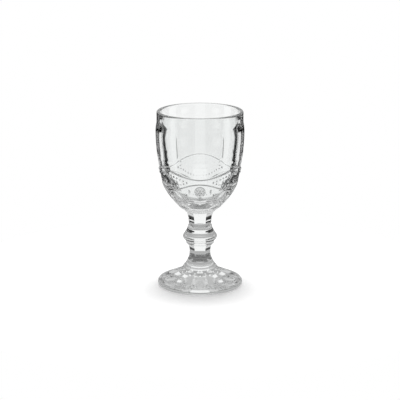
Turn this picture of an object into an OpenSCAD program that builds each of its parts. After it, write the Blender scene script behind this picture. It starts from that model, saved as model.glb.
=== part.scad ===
// Wine goblet of pressed clear glass: a bowl in relief on a six-sided stem with a knop, over a petalled foot.
// It stands on z = 0 with its axis on Z. Turns are counted from the front, -Y, towards +X.
// The pieces meet in flat faces, one on top of the other, as fused butt joints.

/* [Goblet] */
// Height from the table to the rim
goblet_h = 167; // [164:1:170]
// Diameter of the bowl over its raised panels
bowl_d = 82.6; // [81:0.2:84.2]
// Diameter of the foot
foot_d = 79.8; // [77:0.2:82]

/* [Bowl wall] */
// Height of the bowl from its collar to the rim
bowl_h = 91; // [90:0.5:92]
// Thickness of the wall at the rim
rim_t = 3.4; // [3:0.1:3.8]
// Height of the plain band under the rim
rim_band_h = 9.5; // [8:0.5:11]
// How far the plain band stands back from the wall
rim_step = 0.8; // [0.5:0.1:1.1]

/* [Bowl relief] */
// How far the arched panels stand proud of the wall
panel_rise = 0.2; // [0.1:0.05:0.5]
// Half the width of an arched panel, in degrees of turn
panel_half = 29.3; // [27.5:0.1:29.5]
// Height of the lowest point of a panel above the collar
panel_bottom = 47; // [46:0.5:49]
// Radius of a panel's lower corners
panel_corner = 9; // [6:0.5:11]
// How far the swag ribbons stand proud of the wall
ribbon_rise = 1; // [0.6:0.1:1.2]
// How far the field under the swags stands proud of the ribbons
field_rise = 0.9; // [0.6:0.1:1.2]
// How far the lower side of an eye stands proud of the ribbons
eye_rise = 0.9; // [0.6:0.1:1.2]
// Radius of a bead on the ribbons
bead_r = 0.95; // [0.8:0.05:1.2]
// How far a bead stands proud of its ribbon
bead_rise = 0.4; // [0.3:0.05:0.6]
// Turn from one bead to the next
bead_pitch = 5; // [4.5:0.5:6]
// Radius of the medallions
medallion_r = 4.8; // [4:0.1:5.2]
// Radius of the ball that presses each petal into the bowl
petal_ball_r = 60; // [50:1:70]
// Depth of the bowl's petals
petal_depth = 1.6; // [1.2:0.05:1.8]

/* [Stem] */
// Diameter of the neck over its corners at the waist
neck_d = 21.2; // [20.4:0.1:22]
// Height of the neck's waist
neck_z = 61; // [60:0.5:62]
// Diameter of the knop
knop_d = 32; // [31:0.5:33]
// Height of the knop's belt
knop_z = 47; // [46.5:0.5:47.5]
// Diameter of the shank over its corners at the waist
shank_d = 19.6; // [18.8:0.1:20.4]
// Height of the shank's waist
shank_z = 32.5; // [32:0.5:33.5]

/* [Foot] */
// Slope of the foot's upper side
foot_slope = 24; // [23:0.5:25]
// Depth of the foot's petals at their outer end
foot_petal_depth = 1.6; // [1.2:0.1:1.9]
// Radius of the hollow under the foot
hollow_r = 29; // [26:0.5:31]
// Depth of the hollow under the foot
hollow_depth = 0.5; // [0.3:0.1:1]

/* [Hidden] */
$fn = 96;
GLASS = [0.86, 0.9, 0.91, 0.6];
PANELS = 6;
SWAGS = 3;
PETALS = 12;
FLATS = 6;
// The six-sided stem: a flat's distance from the axis as a share of a corner's
FLAT_SHARE = cos(180 / FLATS);

// Heights where the pieces meet
foot_top_z = 18.6;
shank_bottom_z = 24.2;
shank_top_z = 40.5;
neck_bottom_z = 57.5;
neck_top_z = 71.5;
bowl_z = goblet_h - bowl_h;

// Bowl outside: two arcs of a meridian, the upper one upright where it comes near the rim band
bowl_r = bowl_d / 2;
wall_r = bowl_r - panel_rise;
upper_arc_r = 210;
upright_z = goblet_h - 17;
arc_joint = -8.2;
lower_arc_r = 90;
upper_c = [wall_r - upper_arc_r, upright_z];
lower_c = upper_c + (upper_arc_r - lower_arc_r) * [cos(arc_joint), sin(arc_joint)];
arc_joint_z = upper_c.y + upper_arc_r * sin(arc_joint);

// The rim band over its sloping step, and the round lip
rim_r = wall_r - rim_step;
rim_band_z = goblet_h - rim_band_h;
rim_step_h = 2.2;
lip_r = rim_t / 2;
lip_c = [rim_r - lip_r, goblet_h - lip_r];

// Bowl inside: one arc that is upright near the rim, closed by a ball at the bottom
cavity_r = 36.8;
cavity_drop = 12;
cavity_arc_r = 220;
cavity_joint = -13.5;
cavity_c = [cavity_r - cavity_arc_r, goblet_h - cavity_drop];
cavity_ball_r = cavity_arc_r + cavity_c.x / cos(cavity_joint);
cavity_ball_z = cavity_c.y + (cavity_arc_r - cavity_ball_r) * sin(cavity_joint);

// Swags: an upper and a lower ribbon edge that come together at each crossing and part round each eye
crossing_top = bowl_z + 33.6;
crossing_bottom = bowl_z + 29.6;
upper_swing = 7.6;
lower_swing = 9.8;
// Distance of the bead rows and of the eye's border from the ribbon's outer edge
bead_in = [4.6, 3.1];
eye_in = [7.4, 7];
SECTOR = 60;
SECTOR_OVERLAP = 0.4;
eye_half = 26;
eye_flower_r = 3;
eye_flower_z = bowl_z + 30.4;
first_bead = 20;
bead_ball_r = (bead_r * bead_r + bead_rise * bead_rise) / (2 * bead_rise);

// The field under the swags: its distance from the plain wall, and what is pressed into it
field_out = ribbon_rise + field_rise;
// Its lower end, from where a cone runs down into the wall over the collar
field_end_z = bowl_z + 10;
field_foot_r = wall_at(bowl_z) - 0.3;
medallion_z = bowl_z + 22.6;
petal_z = bowl_z + 10.4;

// Stem profile arcs, above and below each waist
neck_arc = [17, 12];
shank_arc = [11.5, 20];
neck_flat_r = 26;
shank_flat_r = 15;
knop_belt_r = 3.4;
// Depth of the hollow in the sides of the knop's cones
knop_hollow = 0.6;

// Foot edge: a round roll, with the sloping upper side tangent to it
edge_r = 3;
edge_c = [foot_d / 2 - edge_r, 2.8];
slope_end = edge_c + edge_r * [sin(foot_slope), cos(foot_slope)];
slope_start_r = 21;
// Foot petals: radius of the barrel that presses them, and where they start along the slope
petal_r = 15;
petal_start = 20;

function arc(c, r, a0, a1, n) =
    [for (i = [0:n]) c + r * [cos(a0 + (a1 - a0) * i / n), sin(a0 + (a1 - a0) * i / n)]];

// Radius of the bowl's wall and tilt of its normal at a height, on the plain wall between the reliefs
function wall_tilt(z) =
    z > arc_joint_z ? asin((z - upper_c.y) / upper_arc_r) : asin((z - lower_c.y) / lower_arc_r);
function wall_at(z) =
    z > arc_joint_z ? upper_c.x + upper_arc_r * cos(wall_tilt(z)) : lower_c.x + lower_arc_r * cos(wall_tilt(z));

// The bowl's outer meridian from the collar to the upright part, moved out along its normal
function bowl_side(out) =
    let (foot_a = asin((bowl_z - lower_c.y) / (lower_arc_r + out)))
    concat(
        arc(lower_c, lower_arc_r + out, foot_a, arc_joint, 16),
        arc(upper_c, upper_arc_r + out, arc_joint + 1, 0, 5)
    );

// Share of a swag's swing at a turn from its crossing: none at the crossing, all at the eye
function swing(turn) = (1 - cos(SWAGS * turn)) / 2;
function ribbon_top(turn) = crossing_top + upper_swing * swing(turn);
function ribbon_bottom(turn) = crossing_bottom - lower_swing * swing(turn);

// A point on the front of the bowl, on the wall moved out, as it is seen from the front
function side_point(turn, z, out) = [(wall_at(z) + out) * sin(turn), z];
function sector_turns(half, steps) = [for (i = [0:steps]) half * (2 * i / steps - 1)];

// Radius of the round stem at a height above or below a waist
function waist(r, arc_r, dz) = r + arc_r - sqrt(arc_r * arc_r - dz * dz);
function waist_side(r, waist_z, arcs, z0, z1, n) =
    [for (i = [0:n])
        let (z = z0 + (z1 - z0) * i / n)
        [waist(r, z > waist_z ? arcs[0] : arcs[1], z - waist_z), z]];

// Solid of revolution under a meridian that runs upwards
module turned(side) {
    rotate_extrude()
        polygon(concat([[0, side[0].y]], side, [[0, side[len(side) - 1].y]]));
}

// Bowl filled in up to the step under the rim band, with its wall moved out along its normal
module filled_bowl(out) {
    turned(concat(bowl_side(out), [[wall_r + out, rim_band_z - rim_step_h]]));
}

// The field filled in, with its cone down to the collar
module filled_field() {
    end_a = asin((field_end_z - lower_c.y) / (lower_arc_r + field_out));
    turned(concat(
        [[field_foot_r, bowl_z]],
        arc(lower_c, lower_arc_r + field_out, end_a, arc_joint, 14)
    ));
}

// An outline drawn on the XZ plane and driven through the front of the bowl
module driven(turn) {
    rotate([90, 0, turn])
        linear_extrude(bowl_d)
            children();
}

// Local frame on the bowl's wall moved out: Z along the outward normal, Y up the meridian
module on_wall(turn, z, out) {
    rotate(turn)
        translate([0, -wall_at(z), z])
            rotate([90 - wall_tilt(z), 0, 0])
                translate([0, 0, out])
                    children();
}

// Outline of one arched panel: square at the top, round at its lower corners
module panel_outline() {
    half = bowl_r * sin(panel_half);
    low = bowl_z + panel_bottom;
    polygon(concat(
        [[half, goblet_h], [-half, goblet_h]],
        arc([-half + panel_corner, low + panel_corner], panel_corner, 180, 270, 6),
        arc([half - panel_corner, low + panel_corner], panel_corner, 270, 360, 6)
    ));
}

// Outline of the ribbons over one sector, centred on a crossing or on an eye, down into the field
module ribbon_outline(centre) {
    turns = sector_turns(SECTOR / 2 + SECTOR_OVERLAP, 16);
    last = len(turns) - 1;
    low = ribbon_bottom(SECTOR) - 1;
    polygon(concat(
        [side_point(turns[0], low, ribbon_rise), side_point(turns[last], low, ribbon_rise)],
        [for (i = [last:-1:0]) side_point(turns[i], ribbon_top(centre + turns[i]), ribbon_rise)]
    ));
}

// Outline of the field under the ribbons over one sector
module field_outline(centre) {
    turns = sector_turns(SECTOR / 2 + SECTOR_OVERLAP, 16);
    last = len(turns) - 1;
    side = (wall_at(ribbon_bottom(SECTOR / 2)) + field_out) * sin(turns[last]);
    polygon(concat(
        [[-side, bowl_z - 1], [side, bowl_z - 1]],
        [for (i = [last:-1:0]) side_point(turns[i], ribbon_bottom(centre + turns[i]), field_out)]
    ));
}

// Outline of the eye between the two ribbons
module eye_outline() {
    turns = sector_turns(eye_half, 14);
    last = len(turns) - 1;
    polygon(concat(
        [for (t = turns) side_point(t, ribbon_bottom(SECTOR + t) + eye_in[1], ribbon_rise)],
        [for (i = [last - 1:-1:1]) side_point(turns[i], ribbon_top(SECTOR + turns[i]) - eye_in[0], ribbon_rise)]
    ));
}

// The eye's face: it leans out from the upper ribbon towards the lower one
module eye_cone() {
    low = ribbon_bottom(SECTOR) + eye_in[1];
    high = ribbon_top(SECTOR) - eye_in[0];
    turned([[wall_at(low) + ribbon_rise + eye_rise, low - 1], [wall_at(high) + ribbon_rise, high + 1]]);
}

// One row of beads round an eye: row 0 on the upper ribbon, row 1 on the lower one
module bead_row(swag, row) {
    for (t = [first_bead:bead_pitch:2 * SECTOR - first_bead]) {
        z = row == 0 ? ribbon_top(t) - bead_in[0] : ribbon_bottom(t) + bead_in[1];
        on_wall(swag + t, z, ribbon_rise + bead_rise - bead_ball_r)
            sphere(bead_ball_r);
    }
}

// A round flower: a raised ring, a ring of petal balls and a middle
module rosette(r) {
    ring_t = r / 6;
    rotate_extrude()
        translate([r - ring_t, 0])
            circle(ring_t);
    for (a = [0:60:300])
        rotate(a)
            translate([r * 0.46, 0, -r * 0.08])
                sphere(r * 0.2);
    sphere(r * 0.21);
}

module bowl_relief() {
    intersection() {
        filled_bowl(panel_rise);
        for (i = [0:PANELS - 1])
            driven(i * 360 / PANELS)
                panel_outline();
    }
    intersection() {
        filled_bowl(ribbon_rise);
        for (i = [0:SWAGS - 1]) {
            driven(i * 360 / SWAGS)
                ribbon_outline(0);
            driven(i * 360 / SWAGS + SECTOR)
                ribbon_outline(SECTOR);
        }
    }
    intersection() {
        filled_field();
        for (i = [0:SWAGS - 1]) {
            driven(i * 360 / SWAGS)
                field_outline(0);
            driven(i * 360 / SWAGS + SECTOR)
                field_outline(SECTOR);
        }
    }
    intersection() {
        eye_cone();
        for (i = [0:SWAGS - 1])
            driven(i * 360 / SWAGS + SECTOR)
                eye_outline();
    }
    for (i = [0:SWAGS - 1]) {
        bead_row(i * 360 / SWAGS, 0);
        bead_row(i * 360 / SWAGS, 1);
        on_wall(i * 360 / SWAGS, medallion_z, field_out)
            rosette(medallion_r);
        on_wall(i * 360 / SWAGS + SECTOR, eye_flower_z, field_out - eye_rise / 2)
            rosette(eye_flower_r);
    }
}

// The inside, which a smooth plunger presses, with the lip's inner round
module cavity() {
    inside = concat(
        arc([0, cavity_ball_z], cavity_ball_r, -90, cavity_joint, 18),
        arc(cavity_c, cavity_arc_r, cavity_joint + 1, 0, 8),
        arc(lip_c, lip_r, 180, 90, 5),
        [[lip_c.x, goblet_h + 1], [0, goblet_h + 1]]
    );
    rotate_extrude()
        polygon(inside);
}

module bowl() {
    color(GLASS)
        difference() {
            union() {
                turned(concat(
                    bowl_side(0),
                    [[wall_r, rim_band_z - rim_step_h], [rim_r, rim_band_z]],
                    arc(lip_c, lip_r, 0, 90, 5)
                ));
                bowl_relief();
            }
            cavity();
            for (i = [0:PETALS - 1])
                on_wall((i + 0.5) * 360 / PETALS, petal_z, field_out + petal_ball_r - petal_depth)
                    sphere(petal_ball_r);
        }
}

// The flared button of glass between the bowl and the neck
module bowl_collar() {
    color(GLASS)
        turned(waist_side(neck_d / 2, neck_z, neck_arc, neck_top_z, bowl_z, 8));
}

// A round waisted stem with six hollow flats
module six_sided(waist_r, waist_z, arcs, flat_r, z0, z1) {
    flat = waist_r * FLAT_SHARE;
    difference() {
        turned(waist_side(waist_r, waist_z, arcs, z0, z1, 14));
        for (i = [0:FLATS - 1])
            rotate(i * 360 / FLATS)
                translate([0, -flat - flat_r, waist_z])
                    rotate([0, 90, 0])
                        cylinder(h = 4 * waist_r, r = flat_r, center = true);
    }
}

module neck() {
    color(GLASS)
        six_sided(neck_d / 2, neck_z, neck_arc, neck_flat_r, neck_bottom_z, neck_top_z);
}

module shank() {
    color(GLASS)
        six_sided(shank_d / 2, shank_z, shank_arc, shank_flat_r, shank_bottom_z, shank_top_z);
}

// Points between the ends of a cone's side that is a little hollow
function hollow_side(from, to, n) =
    [for (i = [1:n - 1])
        let (t = i / n)
        from + t * (to - from) - [4 * t * (1 - t) * knop_hollow, 0]];

// Two blunt cones with hollow sides and a round belt
module knop() {
    belt = [knop_d / 2 - knop_belt_r, knop_z];
    top_r = waist(neck_d / 2, neck_arc[1], neck_z - neck_bottom_z);
    bottom_r = waist(shank_d / 2, shank_arc[0], shank_top_z - shank_z);
    bottom = [bottom_r, shank_top_z];
    top = [top_r, neck_bottom_z];
    belt_side = arc(belt, knop_belt_r, -35, 30, 9);
    color(GLASS)
        turned(concat(
            [bottom],
            hollow_side(bottom, belt_side[0], 6),
            belt_side,
            hollow_side(belt_side[len(belt_side) - 1], top, 6),
            [top]
        ));
}

// The flared button of glass between the shank and the foot
module foot_collar() {
    color(GLASS)
        turned(waist_side(shank_d / 2, shank_z, shank_arc, foot_top_z, shank_bottom_z, 6));
}

// Upper side of the foot: a sloping cone that turns up in a hollow curve to meet the collar
function slope_z(r) = slope_end.y + (slope_end.x - r) * tan(foot_slope);
function foot_flare(n) =
    let (
        start = [slope_start_r, slope_z(slope_start_r)],
        end = [waist(shank_d / 2, shank_arc[1], shank_z - foot_top_z), foot_top_z],
        bend = [end.x + 1.6, slope_z(end.x + 1.6)]
    )
    [for (i = [0:n]) let (t = i / n) (1 - t) * (1 - t) * start + 2 * t * (1 - t) * bend + t * t * end];

module foot() {
    base_a = -asin(edge_c.y / edge_r);
    side = concat(arc(edge_c, edge_r, base_a, 90 - foot_slope, 14), foot_flare(6));
    color(GLASS)
        difference() {
            turned(side);
            foot_hollow();
            for (i = [0:PETALS - 1])
                rotate(i * 360 / PETALS)
                    foot_petal();
        }
}

// The shallow hollow underneath, part of a ball
module foot_hollow() {
    ball_r = (hollow_r * hollow_r + hollow_depth * hollow_depth) / (2 * hollow_depth);
    ball_a = asin(hollow_r / ball_r);
    rotate_extrude()
        polygon(concat(
            [[0, -1], [hollow_r, -1]],
            arc([0, hollow_depth - ball_r], ball_r, 90 - ball_a, 90, 6)
        ));
}

// One hollow petal: a barrel laid down the slope
module foot_petal() {
    rotate([foot_slope, 0, 0])
        translate([0, -petal_start, slope_z(0) * cos(foot_slope) + petal_r - foot_petal_depth])
            rotate([90, 0, 0])
                cylinder(h = foot_d, r = petal_r);
}

bowl();
bowl_collar();
neck();
knop();
shank();
foot_collar();
foot();
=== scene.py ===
"""Wine goblet of pressed clear glass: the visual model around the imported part.

Sizes are in metres. Turns are counted from the front, -Y, towards +X.
"""

from math import asin, atan2, cos, pi, radians, sin, sqrt, tan, tau
from types import SimpleNamespace

import bpy
from bpy.props import FloatProperty, FloatVectorProperty, PointerProperty
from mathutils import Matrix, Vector


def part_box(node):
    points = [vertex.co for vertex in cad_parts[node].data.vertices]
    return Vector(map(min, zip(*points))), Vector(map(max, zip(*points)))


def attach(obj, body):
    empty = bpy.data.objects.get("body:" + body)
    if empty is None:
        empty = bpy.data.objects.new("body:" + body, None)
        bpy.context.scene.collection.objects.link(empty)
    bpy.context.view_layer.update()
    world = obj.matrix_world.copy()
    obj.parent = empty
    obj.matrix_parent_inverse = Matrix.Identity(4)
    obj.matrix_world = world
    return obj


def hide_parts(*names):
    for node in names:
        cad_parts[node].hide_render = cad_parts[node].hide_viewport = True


bl_info = {
    "name": "Pressed glass wine goblet",
    "version": (1, 0, 0),
    "blender": (4, 5, 0),
    "location": "3D View > Sidebar > Goblet",
    "description": "Builds a stemmed wine goblet of pressed glass and its studio",
    "category": "Object",
}

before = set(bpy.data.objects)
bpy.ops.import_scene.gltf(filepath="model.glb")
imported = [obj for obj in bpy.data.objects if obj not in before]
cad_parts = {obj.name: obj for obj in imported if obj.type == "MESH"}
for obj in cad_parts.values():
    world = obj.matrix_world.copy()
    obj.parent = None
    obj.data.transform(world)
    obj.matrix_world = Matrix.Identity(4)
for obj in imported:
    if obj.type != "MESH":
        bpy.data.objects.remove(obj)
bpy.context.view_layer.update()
BODY = "root"
MM = 0.001

# Counts of the pattern round the goblet
PANELS = 6
SWAGS = 3
PETALS = 12
FLATS = 6
FLAT_SHARE = cos(pi / FLATS)

# Columns of the meshes: whole numbers of them on every bead, petal, panel and flat
BOWL_COLUMNS = 648
STEM_COLUMNS = 288
FOOT_COLUMNS = 480


def bottom_of(node):
    """Height of a CAD node's lower end."""
    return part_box(node)[0].z


def top_of(node):
    """Height of a CAD node's upper end."""
    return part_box(node)[1].z


def length(name, default, description):
    """A size in metres."""
    return FloatProperty(name=name, description=description, default=default, unit="LENGTH", precision=5)


def turn(name, default, description):
    """An angle, given in degrees."""
    return FloatProperty(name=name, description=description, default=radians(default), subtype="ANGLE")


def share(name, default, description):
    """A number from 0 to 1."""
    return FloatProperty(name=name, description=description, default=default, min=0, max=1, subtype="FACTOR")


class GobletBowlSizes(bpy.types.PropertyGroup):
    """Sizes of the bowl's relief."""

    wall_r: length("Wall radius", 41.1 * MM, "Radius of the plain wall under the rim band")
    panel_rise: length("Panel rise", 0.22 * MM, "How far the arched panels stand proud of the wall")
    panel_half: turn("Panel half", 29.3, "Half the width of an arched panel")
    panel_low: length("Panel bottom", 123 * MM, "Height of the lowest point of a panel")
    panel_top: length("Panel top", 157.5 * MM, "Height of the upper edge of a panel")
    panel_corner: length("Panel corner", 9 * MM, "Radius of a panel's lower corners")
    panel_bevel: length("Panel bevel", 6 * MM, "Width of the slope at the upper edge of a panel")
    panel_side: length("Panel side", 0.8 * MM, "Width of the slope at the sides and the bottom of a panel")
    rim_step: length("Rim step", 0.8 * MM, "How far the rim band stands back from the wall")
    bevel: length("Bevel", 0.7 * MM, "Width of the slope at the edge of a ribbon")
    ribbon_rise: length("Ribbon rise", 1 * MM, "How far the swag ribbons stand proud of the wall")
    field_rise: length("Field rise", 0.9 * MM, "How far the field under the ribbons stands proud of them")
    crossing_top: length("Crossing top", 109.6 * MM, "Height of the upper edge where the ribbons cross")
    crossing_low: length("Crossing bottom", 105.6 * MM, "Height of the lower edge where the ribbons cross")
    swing_up: length("Upper swing", 7.6 * MM, "Rise of the upper ribbon from a crossing to an eye")
    swing_down: length("Lower swing", 9.8 * MM, "Fall of the lower ribbon from a crossing to an eye")
    bead_in_top: length("Upper bead row", 4.6 * MM, "Distance of the upper beads from the ribbon's edge")
    bead_in_low: length("Lower bead row", 3.1 * MM, "Distance of the lower beads from the ribbon's edge")
    bead_r: length("Bead radius", 0.95 * MM, "Radius of a bead")
    bead_rise: length("Bead rise", 0.4 * MM, "Height of a bead over its ribbon")
    bead_pitch: turn("Bead pitch", 5, "Turn from one bead to the next")
    first_bead: turn("First bead", 20, "Turn from a crossing to its first bead")
    eye_in_top: length("Eye top border", 7.4 * MM, "Distance of the eye from the upper ribbon's outer edge")
    eye_in_low: length("Eye lower border", 7 * MM, "Distance of the eye from the lower ribbon's outer edge")
    slant: share("Ribbon slant", 0.06, "How far the ribbons lean beside the eyes, as depth per height")
    eye_slant: share("Eye slant", 0.19, "How far the face of an eye leans back, as rise per height")
    medallion_z: length("Medallion height", 98.6 * MM, "Height of the rosettes under the crossings")
    medallion_r: length("Medallion radius", 4.8 * MM, "Radius of the rosettes under the crossings")
    dash_turn: turn("Dash turn", 16.5, "Turn from a rosette under a crossing to the dash on each side of it")
    dash_l: length("Dash length", 3.4 * MM, "Height of a dash beside a rosette")
    dash_r: length("Dash radius", 0.8 * MM, "Half the width of a dash")
    dash_rise: length("Dash rise", 0.5 * MM, "How far a dash stands proud")
    eye_z: length("Eye rosette height", 106.4 * MM, "Height of the rosettes in the eyes")
    eye_r: length("Eye rosette radius", 3 * MM, "Radius of the rosettes in the eyes")
    petal_z: length("Petal height", 86.4 * MM, "Height of the middle of the petals")
    petal_depth: length("Petal depth", 1.6 * MM, "Depth of the petals")


class GobletStemSizes(bpy.types.PropertyGroup):
    """Sizes of the six-sided stem."""

    neck_r: length("Neck radius", 10.6 * MM, "Radius of the neck over its corners at the waist")
    neck_z: length("Neck waist", 61 * MM, "Height of the neck's waist")
    neck_flat_r: length("Neck hollow", 26 * MM, "Radius of the hollow flats of the neck")
    shank_r: length("Shank radius", 9.8 * MM, "Radius of the shank over its corners at the waist")
    shank_z: length("Shank waist", 32.5 * MM, "Height of the shank's waist")
    shank_flat_r: length("Shank hollow", 15 * MM, "Radius of the hollow flats of the shank")
    knop_r: length("Knop radius", 16 * MM, "Radius of the knop at its belt")
    knop_z: length("Knop height", 47 * MM, "Height of the knop's belt")


class GobletFootSizes(bpy.types.PropertyGroup):
    """Sizes of the foot."""

    foot_r: length("Foot radius", 39.9 * MM, "Radius of the foot")
    edge_r: length("Edge radius", 3 * MM, "Radius of the rolled edge")
    edge_z: length("Edge height", 2.8 * MM, "Height of the middle of the rolled edge")
    slope: turn("Slope", 24, "Slope of the foot's upper side")
    petal_depth: length("Petal depth", 1.6 * MM, "Depth of the petals")
    petal_start: length("Petal start", 16.4 * MM, "Distance from the axis where the petals start")
    petal_end: length("Petal end", 36.6 * MM, "Distance from the axis where the petals end")
    hollow_r: length("Hollow radius", 29 * MM, "Radius of the hollow underneath")
    hollow_depth: length("Hollow depth", 0.5 * MM, "Depth of the hollow underneath")


class GobletGlassLook(bpy.types.PropertyGroup):
    """Look of the glass."""

    tint: FloatVectorProperty(name="Tint", description="Colour that the glass gives to light", size=3,
                              default=(0.955, 0.965, 0.962), min=0, max=1, subtype="COLOR")
    ior: FloatProperty(name="Index", description="Refractive index of soda-lime glass",
                       default=1.51, min=1, max=2)
    ripple: length("Ripple", 0.02 * MM, "Height of the soft ripple that the mould leaves")
    ripple_size: length("Ripple size", 9 * MM, "Distance over which the ripple varies")


class GobletStudio(bpy.types.PropertyGroup):
    """Camera, table and light."""

    distance: length("Camera distance", 1.45, "Distance of the camera from the goblet")
    elevation: turn("Camera elevation", 14.2, "Angle at which the camera looks down")
    aim_z: length("Aim height", 81.5 * MM, "Height on the goblet's axis in the middle of the picture")
    lens: FloatProperty(name="Lens", description="Focal length on a 36 mm sensor", default=139, unit="CAMERA")
    table_r: length("Table radius", 0.25, "Radius of the white table")
    shade_r: length("Shade radius", 12 * MM, "Radius of the shade round the foot, as the glass shows it")
    shade_soft: length("Shade edge", 30 * MM, "Width of the soft edge of that shade")
    shade: share("Shade", 0.15, "Brightness of that shade")
    ring_r: length("Ring radius", 110 * MM, "Radius of the lighter shade round that shade")
    ring_soft: length("Ring edge", 40 * MM, "Width of the soft edge of the lighter shade")
    ring: share("Ring", 0.45, "Brightness of the lighter shade")
    lit_r: length("Lit radius", 0.12, "Radius of the table that is lit all round")
    lit_soft: length("Lit edge", 40 * MM, "Width of the soft edge of the lit table")
    table_half: turn("Table half", 20, "Half the angle of the lit table in front of each screen")
    table_soft: turn("Table edge", 8, "Width of the soft edge of the lit table")
    screen_half: turn("Screen half", 14.5, "Half the width of each of the four white screens")
    corner_half: turn("Corner half", 12, "Half the width of the narrow screens in the corners of the studio")
    edge_soft: turn("Soft edge", 1.5, "Width of the soft edge of the screens")
    flag_top: turn("Flag top", 2, "Angle over the horizon where the dark flags between the screens end")
    screen_top: turn("Screen top", 22, "Angle over the horizon where the screens end")
    table_shown: share("Table", 0.02, "Brightness of the table between the screens, as the glass shows it")
    mirrored: share("Mirrored", 0.4, "Share of the studio's brightness that the glass mirrors")
    walls: share("Walls", 0.7, "Brightness of the walls over the screens, as the glass shows it")
    ceiling: share("Ceiling", 0.55, "Brightness of the ceiling, as the glass shows it")
    ceiling_low: turn("Ceiling edge", 28, "Angle over the horizon where the ceiling starts")
    softbox_low: turn("Softbox edge", 56, "Angle over the horizon where the white softbox overhead starts")
    front: share("Front", 0.5, "Brightness of the screen behind the camera, as the glass shows it")


def settings():
    """The goblet's settings on the scene."""
    return bpy.context.scene.goblet


class Wire:
    """A node's output in an expression: each operation on it adds one Math node."""

    def __init__(self, bench, socket):
        self.bench = bench
        self.socket = socket

    def __add__(self, other):
        return self.bench.math("ADD", self, other)

    def __sub__(self, other):
        return self.bench.math("SUBTRACT", self, other)

    def __rsub__(self, other):
        return self.bench.math("SUBTRACT", other, self)

    def __mul__(self, other):
        return self.bench.math("MULTIPLY", self, other)

    def __truediv__(self, other):
        return self.bench.math("DIVIDE", self, other)

    def __rtruediv__(self, other):
        return self.bench.math("DIVIDE", other, self)

    def __neg__(self):
        return self.bench.math("MULTIPLY", self, -1)

    def __abs__(self):
        return self.bench.math("ABSOLUTE", self)

    __radd__ = __add__
    __rmul__ = __mul__


class Bench:
    """A node tree that is being wired."""

    def __init__(self, tree):
        self.tree = tree

    def add(self, kind, options=None, inputs=None, output=0):
        """One node of any kind: its options are set first, then its sockets' values or links."""
        node = self.tree.nodes.new(kind)
        for name, value in (options or {}).items():
            setattr(node, name, value)
        for key, value in (inputs or {}).items():
            if isinstance(value, Wire):
                self.tree.links.new(value.socket, node.inputs[key])
            else:
                node.inputs[key].default_value = value
        return Wire(self, node.outputs[output]) if node.outputs else None

    def math(self, operation, *values):
        return self.add("ShaderNodeMath", {"operation": operation}, dict(enumerate(values)))

    def low(self, a, b):
        return self.math("MINIMUM", a, b)

    def high(self, a, b):
        return self.math("MAXIMUM", a, b)

    def root(self, a):
        return self.math("SQRT", a)

    def sine(self, a):
        return self.math("SINE", a)

    def cosine(self, a):
        return self.math("COSINE", a)

    def hypot(self, a, b):
        return self.root(a * a + b * b)

    def wrapped(self, angle, pitch):
        """The angle from the nearest whole pitch."""
        return angle - self.math("ROUND", angle / pitch) * pitch

    def ease(self, value, start, end):
        """Soft step from 0 at start to 1 at end."""
        return self.add("ShaderNodeMapRange", {"interpolation_type": "SMOOTHSTEP"},
                        {"Value": value, "From Min": start, "From Max": end})

    def mix(self, factor, a, b):
        """First value where the factor is 0, second where it is 1."""
        return a + (b - a) * factor

    def axes(self, vector):
        """The three parts of a vector."""
        first = self.add("ShaderNodeSeparateXYZ", None, {0: vector})
        return [Wire(self, socket) for socket in first.socket.node.outputs]


# Meshes: a row is (radius, height, share of the relief, tilt of the outward direction)

def arc(centre, radius, start, end, steps):
    """Points of an arc in the meridian plane between two angles, both ends included."""
    angles = [start + (end - start) * i / steps for i in range(steps + 1)]
    return [(centre[0] + radius * cos(a), centre[1] + radius * sin(a)) for a in angles]


def spread(bands):
    """Heights from bands of (start, end, steps), in order."""
    heights = [bands[0][0]]
    for start, end, steps in bands:
        heights += [start + (end - start) * (i + 1) / steps for i in range(steps)]
    return heights


def plain(points):
    """Rows that take no relief."""
    return [(r, z, 0.0, 0.0) for r, z in points]


def lathe(name, rows, columns, bottom_joint=False, top_joint=False):
    """Closed mesh turned from rows that start and end on the axis.

    The fan of faces at a joint is flat and marked.
    """
    verts, outward, shares = [], [], []
    starts = []
    for r, z, relief, tilt in rows:
        starts.append(len(verts))
        for j in range(columns if r > 0 else 1):
            a = tau * j / columns
            verts.append((r * sin(a), -r * cos(a), z))
            outward.append((cos(tilt) * sin(a), -cos(tilt) * cos(a), sin(tilt)))
            shares.append(relief)
    faces, joints = [], []
    last = len(rows) - 2
    for i, (here, there) in enumerate(zip(starts, starts[1:])):
        lower_pole = rows[i][0] == 0
        upper_pole = rows[i + 1][0] == 0
        joint = (lower_pole and bottom_joint and i == 0) or (upper_pole and top_joint and i == last)
        for j in range(columns):
            k = (j + 1) % columns
            if lower_pole:
                faces.append((here, there + k, there + j))
            elif upper_pole:
                faces.append((here + j, here + k, there))
            else:
                faces.append((here + j, here + k, there + k, there + j))
            joints.append(joint)
    mesh = bpy.data.meshes.new(name)
    mesh.from_pydata(verts, [], faces)
    mesh.polygons.foreach_set("use_smooth", [not joint for joint in joints])
    directions = mesh.attributes.new("outward", "FLOAT_VECTOR", "POINT").data
    directions.foreach_set("vector", [c for v in outward for c in v])
    mesh.attributes.new("relief", "FLOAT", "POINT").data.foreach_set("value", shares)
    mesh.attributes.new("joint", "BOOLEAN", "FACE").data.foreach_set("value", joints)
    mesh.update()
    return mesh


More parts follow.
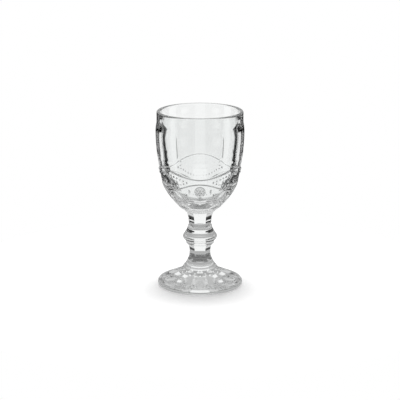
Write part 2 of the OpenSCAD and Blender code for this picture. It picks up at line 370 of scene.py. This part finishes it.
def relief_tree(name, sizes, height):
    """Tree that moves each point outwards by the height that a rule finds there, then sets the glass."""
    tree = bpy.data.node_groups.new(name, "GeometryNodeTree")
    face = tree.interface
    face.new_socket("Blank", in_out="INPUT", socket_type="NodeSocketGeometry")
    for key in sizes:
        face.new_socket(key, in_out="INPUT", socket_type="NodeSocketFloat")
    for key in ("Glass", "Fused joint"):
        face.new_socket(key, in_out="INPUT", socket_type="NodeSocketMaterial")
    face.new_socket("Pressed", in_out="OUTPUT", socket_type="NodeSocketGeometry")
    bench = Bench(tree)
    entry = bench.add("NodeGroupInput").socket.node
    wires = {socket.name: Wire(bench, socket) for socket in entry.outputs if socket.name}

    def stored(kind, attribute):
        return bench.add("GeometryNodeInputNamedAttribute", {"data_type": kind}, {"Name": attribute})

    rise = height(bench, SimpleNamespace(**wires)) * stored("FLOAT", "relief")
    offset = bench.add("ShaderNodeVectorMath", {"operation": "SCALE"},
                       {0: stored("FLOAT_VECTOR", "outward"), "Scale": rise})
    pressed = bench.add("GeometryNodeSetPosition", None, {"Geometry": wires["Blank"], "Offset": offset})
    whole = bench.add("GeometryNodeRealizeInstances", None, {"Geometry": pressed})
    glazed = bench.add("GeometryNodeSetMaterial", None, {"Geometry": whole, "Material": wires["Glass"]})
    joined = bench.add("GeometryNodeSetMaterial", None, {
        "Geometry": glazed, "Selection": stored("BOOLEAN", "joint"), "Material": wires["Fused joint"]})
    bench.add("NodeGroupOutput", None, {"Pressed": joined})
    return tree


def press(name, node, mesh, rule, group):
    """One finished piece: a blank mesh pressed by its rule, in place of its CAD node."""
    sizes = {key: getattr(group, key) for key in group.__annotations__}
    tree = relief_tree(name, sizes, rule)
    piece = bpy.data.objects.new(name, mesh)
    bpy.context.scene.collection.objects.link(piece)
    relief = piece.modifiers.new("Relief", "NODES")
    relief.node_group = tree
    inputs = sizes | {"Glass": clear_glass(), "Fused joint": fused_joint()}
    for item in tree.interface.items_tree:
        if item.in_out == "INPUT" and item.name in inputs:
            relief[item.identifier] = inputs[item.name]
    graph = bpy.context.evaluated_depsgraph_get()
    pressed = bpy.data.meshes.new_from_object(piece.evaluated_get(graph), depsgraph=graph)
    piece.modifiers.remove(relief)
    piece.data = pressed
    bpy.data.meshes.remove(mesh)
    if not pressed.polygons:
        raise RuntimeError(f"{name} came out empty")
    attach(piece, BODY)
    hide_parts(node)


# Bowl

# Outside: two arcs of a meridian, the upper one upright a little under the rim
UPPER_ARC_R = 210 * MM
LOWER_ARC_R = 90 * MM
UPRIGHT_DROP = 17 * MM
ARC_JOINT = radians(-8.2)

# Rows up the outside: how far the first lies over the joint, the bands of petals, swags, panels and the slope
# under the rim with their lower and upper height and their steps, and the steps of the rim band
FIRST_ROW = 0.3 * MM
FIRST_STEPS = 4
BOWL_BANDS = (
    (79 * MM, 95.4 * MM, 23),
    (95.4 * MM, 118.2 * MM, 62),
    (118.2 * MM, 122 * MM, 2),
    (122 * MM, 133 * MM, 10),
    (133 * MM, 153.6 * MM, 5),
    (153.6 * MM, 157.6 * MM, 6),
)
RIM_STEPS = 2

# Inside: the lip, one arc that is upright near the rim, and a ball at the bottom
RIM_T = 3.4 * MM
LIP_STEPS = 9
CAVITY_R = 36.8 * MM
CAVITY_DROP = 12 * MM
CAVITY_ARC_R = 220 * MM
CAVITY_JOINT = radians(-13.5)
CAVITY_STEPS = 6
BALL_END = radians(-89)
BALL_STEPS = 13

# Cone of the field under the swags: its height, how far its foot lies inside the wall, and how much nearer
# to the cone a point comes for each step along the wall's normal
FIELD_CONE_H = 10 * MM
FIELD_FOOT = 0.3 * MM
FIELD_LEAN = 1.36

# How far under its upper edge a panel has its full rise
PANEL_FADE = 8 * MM

# Share of the swing from a crossing to an eye where the ribbons start to lean, and where they lean in full
LEAN_START = 0.35
LEAN_FULL = 0.65

# Rosettes, as shares of their radius: where the ring and the petals lie, and the reach, the reach of the flat
# top and the height of each form
ROSETTE_PETALS = 6
RING_AT = 0.84
RING_FORM = (0.17, 0.05, 0.17)
BALL_AT = 0.46
BALL_FORM = (0.21, 0.06, 0.13)
MIDDLE_FORM = (0.21, 0.05, 0.2)

# Height of an eye's rosette as a share of a medallion's
EYE_ROSETTE = 0.35

# Bending of the petals' hollow across and along the wall
PETAL_CROSS = 0.0262 / MM
PETAL_LENGTHWAYS = 0.0139 / MM


def wall_arcs(wall_r, rim_z):
    """Centres of the wall's upper and lower arcs."""
    upper = Vector((wall_r - UPPER_ARC_R, rim_z - UPRIGHT_DROP))
    lower = upper + (UPPER_ARC_R - LOWER_ARC_R) * Vector((cos(ARC_JOINT), sin(ARC_JOINT)))
    return upper, lower


def wall_r_at(z, wall_r, rim_z):
    """Radius of the plain outer wall at a height."""
    upper, lower = wall_arcs(wall_r, rim_z)
    if z >= upper.y:
        return wall_r
    if z > upper.y + UPPER_ARC_R * sin(ARC_JOINT):
        return upper.x + sqrt(UPPER_ARC_R ** 2 - (z - upper.y) ** 2)
    return lower.x + sqrt(LOWER_ARC_R ** 2 - (z - lower.y) ** 2)


def tilted(points):
    """Rows that take the relief, along the normal of the line through the points."""
    rows = []
    for i, (r, z) in enumerate(points):
        before, after = points[max(i - 1, 0)], points[min(i + 1, len(points) - 1)]
        rows.append((r, z, 1.0, atan2(before[0] - after[0], after[1] - before[1])))
    return rows


def bowl_rows(size):
    """Rows of the bowl: the joint under it, the outside, the lip and the inside."""
    low, rim = bottom_of("bowl"), top_of("bowl")
    wall_r = size.wall_r
    rim_r = wall_r - size.rim_step
    lip_r = RIM_T / 2
    heights = spread([
        (low + FIRST_ROW, BOWL_BANDS[0][0], FIRST_STEPS),
        *BOWL_BANDS,
        (BOWL_BANDS[-1][1], rim - lip_r, RIM_STEPS),
    ])
    outside = [(wall_r_at(z, wall_r, rim), z) for z in heights]
    under = plain([(0, low), (collar_top_r(), low)])
    lip = arc((rim_r - lip_r, rim - lip_r), lip_r, 0, pi, LIP_STEPS)[1:-1]
    centre = Vector((CAVITY_R - CAVITY_ARC_R, rim - CAVITY_DROP))
    ball_r = CAVITY_ARC_R + centre.x / cos(CAVITY_JOINT)
    ball_z = centre.y + (CAVITY_ARC_R - ball_r) * sin(CAVITY_JOINT)
    inside = (
        [(rim_r - RIM_T, rim - lip_r)]
        + arc(centre, CAVITY_ARC_R, 0, CAVITY_JOINT, CAVITY_STEPS)
        + arc((0, ball_z), ball_r, CAVITY_JOINT, BALL_END, BALL_STEPS)[1:]
        + [(0, ball_z - ball_r)]
    )
    return under + tilted(outside) + plain(lip) + plain(inside)


def field_cone(size):
    """Foot radius and widening of the cone in which the field under the swags runs down to the collar."""
    low, rim = bottom_of("bowl"), top_of("bowl")
    lower = wall_arcs(size.wall_r, rim)[1]
    out_r = LOWER_ARC_R + size.ribbon_rise + size.field_rise
    end_r = lower.x + sqrt(out_r ** 2 - (low + FIELD_CONE_H - lower.y) ** 2)
    foot_r = wall_r_at(low, size.wall_r, rim) - FIELD_FOOT
    return foot_r, (end_r - foot_r) / FIELD_CONE_H


def rosette(b, across, along, radius):
    """Height of a round flower about a point: a raised ring, petal balls and a middle."""
    reach = b.hypot(across, along) / radius
    petal_a = b.wrapped(b.math("ARCTAN2", along, across), tau / ROSETTE_PETALS)
    from_ball = b.hypot(reach * b.cosine(petal_a) - BALL_AT, reach * b.sine(petal_a))

    def raised(distance, form):
        outer, flat, height = form
        return b.ease(distance, outer, flat) * height

    ring = raised(abs(reach - RING_AT), RING_FORM)
    return b.high(b.high(ring, raised(from_ball, BALL_FORM)), raised(reach, MIDDLE_FORM)) * radius


def bowl_rule(b, s):
    """Relief of the bowl: panels, ribbons with beads, eyes, rosettes and petals."""
    x, y, z = b.axes(b.add("GeometryNodeInputPosition"))
    angle = b.math("ARCTAN2", x, -y)
    radius = b.hypot(x, y)

    # Arched panels, and the slope from them up to the rim band
    panel_u = b.wrapped(angle, tau / PANELS)
    beside = abs(radius * b.sine(panel_u)) - (s.wall_r + s.panel_rise) * b.sine(s.panel_half) + s.panel_corner
    below = s.panel_low + s.panel_corner - z
    corner = b.hypot(b.high(beside, 0), b.high(below, 0)) + b.low(b.high(beside, below), 0) - s.panel_corner
    panel = b.ease(corner, 0, -s.panel_side) * s.panel_rise
    panel = panel * b.ease(z - s.panel_top, -s.panel_bevel, -PANEL_FADE)
    panel = panel - b.ease(z - s.panel_top, -s.panel_bevel, 0) * s.rim_step

    # Two ribbons that cross and part, the leaning eyes between them and the field below
    swing = (1 - b.cosine(angle * SWAGS)) / 2
    top = s.crossing_top + s.swing_up * swing
    low = s.crossing_low - s.swing_down * swing
    ribbon = b.ease(z - top, 0, -s.bevel)
    field = b.ease(z - low, 0, -s.bevel)
    eye_u = b.wrapped(angle + tau / SWAGS / 2, tau / SWAGS)
    down = b.high(top - z, 0)
    eye_h = b.high(top - low - s.eye_in_top - s.eye_in_low, 0)
    eye = b.low(b.high(down - s.eye_in_top, 0), eye_h)
    leaned = b.low(down, s.eye_in_top) + b.low(b.high(s.eye_in_low + low - z, 0), s.eye_in_low)
    face = s.ribbon_rise - leaned * s.slant * b.ease(swing, LEAN_START, LEAN_FULL) + eye * s.eye_slant
    band = b.mix(field, ribbon * face, s.ribbon_rise + s.field_rise)

    # A row of beads along each ribbon
    swag_u = b.wrapped(angle, tau / SWAGS)
    side = abs(swag_u)
    bead_u = b.high(b.math("ROUND", side / s.bead_pitch) * s.bead_pitch, s.first_bead)
    bead_swing = (1 - b.cosine(bead_u * SWAGS)) / 2
    beads = 0
    for line in (s.crossing_top + s.swing_up * bead_swing - s.bead_in_top,
                 s.crossing_low - s.swing_down * bead_swing + s.bead_in_low):
        reach = b.hypot((side - bead_u) * radius, z - line) / s.bead_r
        beads = b.high(1 - reach * reach, beads)
    beads = beads * s.bead_rise

    # Rosettes under the crossings with a dash on each side, and smaller ones in the eyes
    medallion = rosette(b, swag_u * radius, z - s.medallion_z, s.medallion_r)
    beyond = b.high(abs(z - s.medallion_z) - s.dash_l / 2 + s.dash_r, 0)
    dash = b.hypot((side - s.dash_turn) * radius, beyond) / s.dash_r
    dash = b.high(1 - dash * dash, 0) * s.dash_rise
    eye_flower = rosette(b, eye_u * radius, z - s.eye_z, s.eye_r) * EYE_ROSETTE

    # Hollow petals round the bottom
    petal_u = b.wrapped(angle + tau / PETALS / 2, tau / PETALS)
    across = petal_u * radius
    along = z - s.petal_z
    petal = b.high(s.petal_depth - across * across * PETAL_CROSS - along * along * PETAL_LENGTHWAYS, 0)

    # Cone that keeps the field from standing out over the collar
    foot_r, widening = field_cone(settings().bowl)
    spare = (foot_r + (z - bottom_of("bowl")) * widening - radius) / FIELD_LEAN
    field_face = b.low(band - petal, b.high(spare, 0))

    return panel + field_face + beads + medallion + dash + eye_flower


# Stem

# Radii of the round outlines, above and below each waist
NECK_ARC = (17 * MM, 12 * MM)
SHANK_ARC = (11.5 * MM, 20 * MM)

# Knop: radius, angles and steps of its round belt, and depth of the hollow in its cones
KNOP_BELT_R = 3.4 * MM
KNOP_BELT = (radians(-35), radians(30))
KNOP_BELT_STEPS = 12
KNOP_HOLLOW = 0.6 * MM

# Steps up each piece of the stem
NECK_STEPS = 40
SHANK_STEPS = 44
KNOP_STEPS = 60
COLLAR_STEPS = 14

# How far the ledge round a six-sided joint stays inside its collar's edge
COLLAR_EDGE = 0.1 * MM


def waist(r, arc_r, dz):
    """Radius of a hollow round at a height from its waist."""
    return r + arc_r - sqrt(arc_r ** 2 - dz ** 2)


def neck_round(z):
    """Radius of the neck's round outline at a height."""
    size = settings().stem
    return waist(size.neck_r, NECK_ARC[0] if z > size.neck_z else NECK_ARC[1], z - size.neck_z)


def shank_round(z):
    """Radius of the shank's round outline at a height."""
    size = settings().stem
    return waist(size.shank_r, SHANK_ARC[0] if z > size.shank_z else SHANK_ARC[1], z - size.shank_z)


def collar_top_r():
    """Radius of the bowl's collar where it meets the bowl."""
    return neck_round(top_of("bowl_collar"))


def collar_bottom_r():
    """Radius of the foot's collar where it meets the foot."""
    return shank_round(bottom_of("foot_collar"))


def closed(rows):
    """Rows of a side, closed with a flat end at the bottom and the top."""
    return [(0, rows[0][1], 0, 0)] + rows + [(0, rows[-1][1], 0, 0)]


def stem_rows(node, outline, steps):
    """Rows of a stem piece between its CAD node's ends, all taking the relief."""
    heights = spread([(bottom_of(node), top_of(node), steps)])
    return [(outline(z), z, 1.0, 0.0) for z in heights]


def collar_side(node, outline):
    """Rows up the side of a round collar."""
    heights = spread([(bottom_of(node), top_of(node), COLLAR_STEPS)])
    return plain([(outline(z), z) for z in heights])


def six_sided_end(row):
    """End of a collar on a six-sided piece: the outline of the flats, then the ledge round it."""
    r, z = row[:2]
    return [(r, z, 1.0, 0.0), (r - COLLAR_EDGE, z, 0.0, 0.0)]


def knop_side():
    """Points of the knop's side: its lower end, its round belt and its upper end."""
    size = settings().stem
    low, top = bottom_of("knop"), top_of("knop")
    belt = arc((size.knop_r - KNOP_BELT_R, size.knop_z), KNOP_BELT_R, *KNOP_BELT, KNOP_BELT_STEPS)
    return [(shank_round(low), low), *belt, (neck_round(top), top)]


def knop_round(z):
    """Radius of the knop without its hollows: two blunt cones with a round belt."""
    side = knop_side()
    for (r0, z0), (r1, z1) in zip(side, side[1:]):
        if z <= z1 or (r1, z1) == side[-1]:
            return r0 + (r1 - r0) * (z - z0) / (z1 - z0)


def around_stem(b):
    """Height, radius and turn from the middle of the nearest flat."""
    x, y, z = b.axes(b.add("GeometryNodeInputPosition"))
    return z, b.hypot(x, y), b.wrapped(b.math("ARCTAN2", x, -y), tau / FLATS)


def hollow_flat(b, r, flat_r, dz):
    """Distance of a hollow flat from the axis."""
    return r * FLAT_SHARE + flat_r - b.root(flat_r * flat_r - dz * dz)


def neck_rule(b, s):
    """Depth of the neck's flats under its round outline."""
    z, radius, u = around_stem(b)
    flat = hollow_flat(b, s.neck_r, s.neck_flat_r, z - s.neck_z)
    return b.low(flat / b.cosine(u) - radius, 0)


def shank_rule(b, s):
    """Depth of the shank's flats under its round outline."""
    z, radius, u = around_stem(b)
    flat = hollow_flat(b, s.shank_r, s.shank_flat_r, z - s.shank_z)
    return b.low(flat / b.cosine(u) - radius, 0)


def knop_rule(b, s):
    """Depth of the hollow in the sides of the knop's two cones."""
    z = b.axes(b.add("GeometryNodeInputPosition"))[2]
    side = knop_side()
    bow = 0
    for (_, start), (_, end) in (side[:2], side[-2:]):
        along = b.low(b.high((z - start) / (end - start), 0), 1)
        # 0 at both ends of a cone and 1 in its middle
        bow = along * (1 - along) * 4 + bow
    return -(bow * KNOP_HOLLOW)


# Foot

# Steps along the hollow underneath, the rolled edge, the slope and the flare
HOLLOW_STEPS = 16
ROLL_STEPS = 18
SLOPE_STEPS = 26
FLARE_STEPS = 14

# Angle off the axis where the rows of the hollow start
HOLLOW_START = radians(0.2)

# How far the rows of the resting ring stay from its edges
RING_GAP = 0.2 * MM

# Where the flare up to the collar starts, and how far its bend lies from the collar
FLARE_START = 21 * MM
FLARE_BEND = 1.6 * MM

# Half width of a foot petal at its arch, how it spreads outwards, the length of the arch, and the fade at the
# petal's outer end
PETAL_HALF = 4.6 * MM
PETAL_SPREAD = 0.184
PETAL_ARCH = 4.5 * MM
PETAL_FADE = 1.5 * MM


def foot_rows(size):
    """Rows of the foot: the hollow underneath, the resting ring, the rolled edge, the slope and the flare."""
    top = top_of("foot")
    edge = (size.foot_r - size.edge_r, size.edge_z)
    ball_r = (size.hollow_r ** 2 + size.hollow_depth ** 2) / (2 * size.hollow_depth)
    ball_half = asin(size.hollow_r / ball_r)
    hollow = arc((0, size.hollow_depth - ball_r), ball_r, pi / 2 - HOLLOW_START, pi / 2 - ball_half,
                 HOLLOW_STEPS)
    roll = arc(edge, size.edge_r, -asin(size.edge_z / size.edge_r), pi / 2 - size.slope, ROLL_STEPS)
    end = roll[-1]

    def slope_z(r):
        return end[1] + (end[0] - r) * tan(size.slope)

    slope_r = [end[0] + (FLARE_START - end[0]) * i / SLOPE_STEPS for i in range(1, SLOPE_STEPS)]
    slope = [(r, slope_z(r)) for r in slope_r]
    joint_r = collar_bottom_r()
    bend_r = joint_r + FLARE_BEND
    start = Vector((FLARE_START, slope_z(FLARE_START)))
    bend = Vector((bend_r, slope_z(bend_r)))
    joint = Vector((joint_r, top))
    shares = [i / FLARE_STEPS for i in range(FLARE_STEPS + 1)]
    flare = [tuple((1 - t) ** 2 * start + 2 * t * (1 - t) * bend + t * t * joint) for t in shares]
    ring = [(size.hollow_r + RING_GAP, 0), (roll[0][0] - RING_GAP, 0)]
    return ([(0, size.hollow_depth, 0, 0)] + plain(hollow) + plain(ring) + tilted(roll + slope + flare)
            + [(0, top, 0, 0)])


def foot_rule(b, s):
    """Depth of the foot's petals, tongues with an arched inner end."""
    x, y, _ = b.axes(b.add("GeometryNodeInputPosition"))
    radius = b.hypot(x, y)
    u = b.wrapped(b.math("ARCTAN2", x, -y), tau / PETALS)
    across = radius * b.sine(u) / (PETAL_HALF + PETAL_SPREAD * (radius - s.petal_start))
    arch = b.high(1 - (radius - s.petal_start) / PETAL_ARCH, 0)
    depth = b.high(1 - across * across - arch * arch, 0)
    return -(depth * s.petal_depth * b.ease(radius, s.petal_end, s.petal_end - PETAL_FADE))


# Materials

GLASS = "pressed_glass"
JOINT = "fused_joint"

# Ripple of the mould: how many finer ripples lie in it, and how strong they are
RIPPLE_DETAIL = 2.0
RIPPLE_FINE = 0.5

# Streaks: waves per metre, how many finer ones lie in them, how rough they are and how much darker
STREAK_SCALE = 60.0
STREAK_DETAIL = 3.0
STREAK_ROUGHNESS = 0.012
STREAK_SHADE = 0.985

# Sockets of the Mix node for colours
MIX_A, MIX_B, MIX_RESULT = 6, 7, 2


def material(name):
    """A new material, the bench of its nodes and its main shader."""
    made = bpy.data.materials.new(name)
    made.use_nodes = True
    return made, Bench(made.node_tree), made.node_tree.nodes["Principled BSDF"]


def clear_glass():
    """Clear pressed glass with the soft ripple of the mould under its fire polish."""
    if GLASS in bpy.data.materials:
        return bpy.data.materials[GLASS]
    look = settings().glass
    made, bench, shader = material(GLASS)
    shader.inputs["IOR"].default_value = look.ior
    shader.inputs["Transmission Weight"].default_value = 1.0
    place = bench.add("ShaderNodeTexCoord", output="Object")
    ripple = bench.add("ShaderNodeTexNoise", None, {
        "Vector": place, "Scale": 1 / look.ripple_size, "Detail": RIPPLE_DETAIL, "Roughness": RIPPLE_FINE})
    bump = bench.add("ShaderNodeBump", None, {"Strength": 1.0, "Distance": look.ripple, "Height": ripple})
    made.node_tree.links.new(bump.socket, shader.inputs["Normal"])
    streak = bench.add("ShaderNodeTexNoise", None, {
        "Vector": place, "Scale": STREAK_SCALE, "Detail": STREAK_DETAIL})
    made.node_tree.links.new((streak * STREAK_ROUGHNESS).socket, shader.inputs["Roughness"])
    tint = (*look.tint, 1.0)
    deep = (*[c * STREAK_SHADE for c in look.tint], 1.0)
    colour = bench.add("ShaderNodeMix", {"data_type": "RGBA"},
                       {"Factor": streak, MIX_A: tint, MIX_B: deep}, output=MIX_RESULT)
    made.node_tree.links.new(colour.socket, shader.inputs["Base Color"])
    return made


def fused_joint():
    """The face inside a fused joint, where the glass runs on without a surface."""
    if JOINT in bpy.data.materials:
        return bpy.data.materials[JOINT]
    made, _, shader = material(JOINT)
    shader.inputs["Alpha"].default_value = 0.0
    return made


# Studio

# Table: how far it lies under the foot, its corners, how white its paper is and how much the paper glows in
# the picture
TABLE_DROP = 0.3 * MM
TABLE_CORNERS = 96
PAPER = 0.8
PAPER_GLOW = 0.35

# Screens: how many stand round the goblet, and how high the narrow ones in the corners reach
SCREENS = 4
CORNER_LOW = radians(-19.5)
CORNER_HIGH = radians(-11)

# Share of a direction's way to the front where the dimmer front screen starts, and where it is dimmed in full
FRONT_START = 0.6
FRONT_FULL = 0.8

# Soft edge of the walls and the ceiling
CEILING_SOFT = radians(6)

# How bright the studio lights the table
DIFFUSE_LEVEL = 0.45

# Lamp overhead: its width, its power in watts and its place
LAMP_SIZE = 0.3
LAMP_POWER = 7
LAMP_PLACE = (0.0, 0.11, 1.1)

# Width of the camera's sensor, in millimetres
SENSOR_WIDTH = 36

# How often light may pass glass, be mirrored, and pass the fused joints
GLASS_BOUNCES = 32
MIRROR_BOUNCES = 16
JOINT_BOUNCES = 48


def screens(bench, azimuth, climb, studio):
    """1 in front of a white screen, 0 between the screens."""
    off = abs(bench.wrapped(azimuth, tau / SCREENS))
    soft = studio.edge_soft / 2
    wide = bench.ease(off, studio.screen_half + soft, studio.screen_half - soft)
    corner = bench.ease(pi / SCREENS - off, studio.corner_half + soft, studio.corner_half - soft)
    corner = corner * bench.ease(climb, sin(CORNER_LOW - studio.edge_soft), sin(CORNER_LOW))
    corner = corner * bench.ease(climb, sin(CORNER_HIGH + studio.edge_soft * 2), sin(CORNER_HIGH))
    return wide + corner


def white_table(studio):
    """Round white table that keeps the goblet's shadow, and shows the glass a painted glow of light and
    shade.
    """
    turns = [tau * j / TABLE_CORNERS for j in range(TABLE_CORNERS)]
    corners = [(studio.table_r * cos(a), studio.table_r * sin(a), -TABLE_DROP) for a in turns]
    mesh = bpy.data.meshes.new("table")
    mesh.from_pydata(corners, [], [tuple(range(TABLE_CORNERS))])
    table = bpy.data.objects.new("table", mesh)
    bpy.context.scene.collection.objects.link(table)
    made, bench, shader = material("white_paper")
    shader.inputs["Base Color"].default_value = (PAPER, PAPER, PAPER, 1)
    shader.inputs["Roughness"].default_value = 1.0
    shader.inputs["Specular IOR Level"].default_value = 0.0
    path = bench.add("ShaderNodeLightPath").socket.node.outputs
    glow_level = Wire(bench, path["Is Camera Ray"]) * PAPER_GLOW
    glow = bench.add("ShaderNodeEmission", None, {"Strength": glow_level})
    paper = bench.add("ShaderNodeAddShader", None, {0: Wire(bench, shader.outputs[0]), 1: glow})
    # What the glass shows of the table is a painted glow: painted light in front of each screen, painted
    # shade round the foot
    x, y, _ = bench.axes(bench.add("ShaderNodeTexCoord", output="Object"))
    glass = bench.low(Wire(bench, path["Is Glossy Ray"]) + Wire(bench, path["Is Transmission Ray"]), 1)
    off = abs(bench.wrapped(bench.math("ARCTAN2", x, y), tau / SCREENS))
    soft = studio.table_soft / 2
    reach = bench.hypot(x, y)
    lit = bench.ease(off, studio.table_half + soft, studio.table_half - soft)
    lit = bench.high(lit, bench.ease(reach, studio.lit_r + studio.lit_soft, studio.lit_r))
    near = bench.ease(reach, studio.shade_r, studio.shade_r + studio.shade_soft)
    far = bench.ease(reach, studio.ring_r, studio.ring_r + studio.ring_soft)
    level = bench.mix(far, bench.mix(near, studio.shade, studio.ring), 1)
    level = level * (studio.table_shown + (1 - studio.table_shown) * lit)
    shown = bench.add("ShaderNodeEmission", None, {"Strength": level})
    both = bench.add("ShaderNodeMixShader", None, {0: glass, 1: paper, 2: shown})
    made.node_tree.links.new(both.socket, made.node_tree.nodes["Material Output"].inputs["Surface"])
    mesh.materials.append(made)


def studio_world(studio):
    """White studio, with dark flags that only the glass shows."""
    world = bpy.data.worlds.new("studio")
    bpy.context.scene.world = world
    world.use_nodes = True
    bench = Bench(world.node_tree)
    x, y, z = bench.axes(bench.add("ShaderNodeTexCoord", output="Generated"))
    path = bench.add("ShaderNodeLightPath").socket.node.outputs
    direct = Wire(bench, path["Is Camera Ray"])
    glossy = Wire(bench, path["Is Glossy Ray"])
    through = Wire(bench, path["Is Transmission Ray"])
    # What the glass shows of the studio: screens, walls over the flags, the ceiling and the softbox overhead
    lit = screens(bench, bench.math("ARCTAN2", x, y), z, studio)
    lit = lit * bench.mix(bench.ease(-y, FRONT_START, FRONT_FULL), 1, studio.front)
    under = bench.ease(z, sin(studio.screen_top + CEILING_SOFT), sin(studio.screen_top))
    flagged = bench.ease(z, sin(studio.flag_top + CEILING_SOFT), sin(studio.flag_top))
    over = bench.ease(z, sin(studio.ceiling_low), sin(studio.ceiling_low + CEILING_SOFT * 2))
    top = bench.ease(z, sin(studio.softbox_low), sin(studio.softbox_low + CEILING_SOFT * 2))
    shown = lit * under + studio.walls * (1 - flagged) * (1 - lit * under)
    shown = shown + (studio.ceiling - studio.walls) * over + (1 - studio.ceiling) * top
    # White in the picture, the screens in the glass, and an even light on the table
    seen = bench.low(direct + glossy + through, 1)
    mirrored = glossy * (1 - through) * studio.mirrored
    level = direct + (through + mirrored) * shown + (1 - seen) * DIFFUSE_LEVEL
    back = world.node_tree.nodes["Background"]
    back.inputs["Color"].default_value = (1, 1, 1, 1)
    world.node_tree.links.new(level.socket, back.inputs["Strength"])


def overhead_lamp():
    """Round lamp over the table, which the glass doesn't show."""
    lamp = bpy.data.lights.new("softbox", "AREA")
    lamp.shape = "DISK"
    lamp.size = LAMP_SIZE
    lamp.energy = LAMP_POWER
    holder = bpy.data.objects.new("softbox", lamp)
    holder.location = LAMP_PLACE
    holder.rotation_euler = (-holder.location).to_track_quat("-Z", "Y").to_euler()
    holder.visible_glossy = False
    holder.visible_transmission = False
    bpy.context.scene.collection.objects.link(holder)


def camera(studio):
    """Camera at the picture's height and distance."""
    data = bpy.data.cameras.new("camera")
    data.lens = studio.lens
    data.sensor_width = SENSOR_WIDTH
    view = bpy.data.objects.new("camera", data)
    aim = Vector((0, 0, studio.aim_z))
    view.location = aim + studio.distance * Vector((0, -cos(studio.elevation), sin(studio.elevation)))
    view.rotation_euler = (aim - view.location).to_track_quat("-Z", "Y").to_euler()
    bpy.context.scene.collection.objects.link(view)
    bpy.context.scene.camera = view


class GOBLET_OT_bowl(bpy.types.Operator):
    """Press the bowl with its panels, swags and petals"""

    bl_idname = "goblet.bowl"
    bl_label = "Bowl"

    def execute(self, context):
        size = settings().bowl
        mesh = lathe("bowl_blank", bowl_rows(size), BOWL_COLUMNS, bottom_joint=True)
        press("bowl_glass", "bowl", mesh, bowl_rule, size)
        return {"FINISHED"}


class GOBLET_OT_collars(bpy.types.Operator):
    """Make the two round collars at the ends of the stem"""

    bl_idname = "goblet.collars"
    bl_label = "Collars"

    def execute(self, context):
        size = settings().stem
        side = collar_side("bowl_collar", neck_round)
        rows = closed(six_sided_end(side[0]) + side[1:])
        mesh = lathe("bowl_collar_blank", rows, STEM_COLUMNS, True, True)
        press("bowl_collar_glass", "bowl_collar", mesh, neck_rule, size)
        side = collar_side("foot_collar", shank_round)
        rows = closed(side[:-1] + six_sided_end(side[-1])[::-1])
        mesh = lathe("foot_collar_blank", rows, STEM_COLUMNS, True, True)
        press("foot_collar_glass", "foot_collar", mesh, shank_rule, size)
        return {"FINISHED"}


class GOBLET_OT_stem(bpy.types.Operator):
    """Make the neck and the shank with their hollow flats"""

    bl_idname = "goblet.stem"
    bl_label = "Neck and shank"

    def execute(self, context):
        size = settings().stem
        rows = closed(stem_rows("neck", neck_round, NECK_STEPS))
        mesh = lathe("neck_blank", rows, STEM_COLUMNS, True, True)
        press("neck_glass", "neck", mesh, neck_rule, size)
        rows = closed(stem_rows("shank", shank_round, SHANK_STEPS))
        mesh = lathe("shank_blank", rows, STEM_COLUMNS, True, True)
        press("shank_glass", "shank", mesh, shank_rule, size)
        return {"FINISHED"}


class GOBLET_OT_knop(bpy.types.Operator):
    """Turn the round knop with its hollow cones"""

    bl_idname = "goblet.knop"
    bl_label = "Knop"

    def execute(self, context):
        size = settings().stem
        rows = closed(stem_rows("knop", knop_round, KNOP_STEPS))
        mesh = lathe("knop_blank", rows, STEM_COLUMNS, True, True)
        press("knop_glass", "knop", mesh, knop_rule, size)
        return {"FINISHED"}


class GOBLET_OT_foot(bpy.types.Operator):
    """Press the foot with its petals"""

    bl_idname = "goblet.foot"
    bl_label = "Foot"

    def execute(self, context):
        size = settings().foot
        mesh = lathe("foot_blank", foot_rows(size), FOOT_COLUMNS, top_joint=True)
        press("foot_glass", "foot", mesh, foot_rule, size)
        return {"FINISHED"}


class GOBLET_OT_studio(bpy.types.Operator):
    """Set up the table, the light and the camera"""

    bl_idname = "goblet.studio"
    bl_label = "Studio"

    def execute(self, context):
        studio = settings().studio
        white_table(studio)
        studio_world(studio)
        overhead_lamp()
        camera(studio)
        scene = context.scene
        scene.view_settings.view_transform = "Standard"
        scene.cycles.max_bounces = GLASS_BOUNCES
        scene.cycles.transmission_bounces = GLASS_BOUNCES
        scene.cycles.glossy_bounces = MIRROR_BOUNCES
        scene.cycles.transparent_max_bounces = JOINT_BOUNCES
        return {"FINISHED"}


class GobletSettings(bpy.types.PropertyGroup):
    """Everything that a user may change on the goblet."""

    bowl: PointerProperty(type=GobletBowlSizes)
    stem: PointerProperty(type=GobletStemSizes)
    foot: PointerProperty(type=GobletFootSizes)
    glass: PointerProperty(type=GobletGlassLook)
    studio: PointerProperty(type=GobletStudio)


OPERATORS = (GOBLET_OT_bowl, GOBLET_OT_collars, GOBLET_OT_stem, GOBLET_OT_knop, GOBLET_OT_foot,
             GOBLET_OT_studio)


class GOBLET_PT_sidebar(bpy.types.Panel):
    """Buttons and sizes of the goblet"""

    bl_idname = "GOBLET_PT_sidebar"
    bl_label = "Goblet"
    bl_space_type = "VIEW_3D"
    bl_region_type = "UI"
    bl_category = "Goblet"

    def draw(self, context):
        for operator in OPERATORS:
            self.layout.operator(operator.bl_idname)
        for group in GobletSettings.__annotations__:
            sizes = getattr(settings(), group)
            box = self.layout.box()
            for key in sizes.__annotations__:
                box.prop(sizes, key)


CLASSES = (GobletBowlSizes, GobletStemSizes, GobletFootSizes, GobletGlassLook, GobletStudio, GobletSettings,
           *OPERATORS, GOBLET_PT_sidebar)


def register():
    for cls in CLASSES:
        bpy.utils.register_class(cls)
    bpy.types.Scene.goblet = PointerProperty(type=GobletSettings)


def unregister():
    del bpy.types.Scene.goblet
    for cls in reversed(CLASSES):
        bpy.utils.unregister_class(cls)


def main():
    register()
    for operator in OPERATORS:
        group, name = operator.bl_idname.split(".")
        getattr(getattr(bpy.ops, group), name)()


if __name__ == "__main__":
    main()
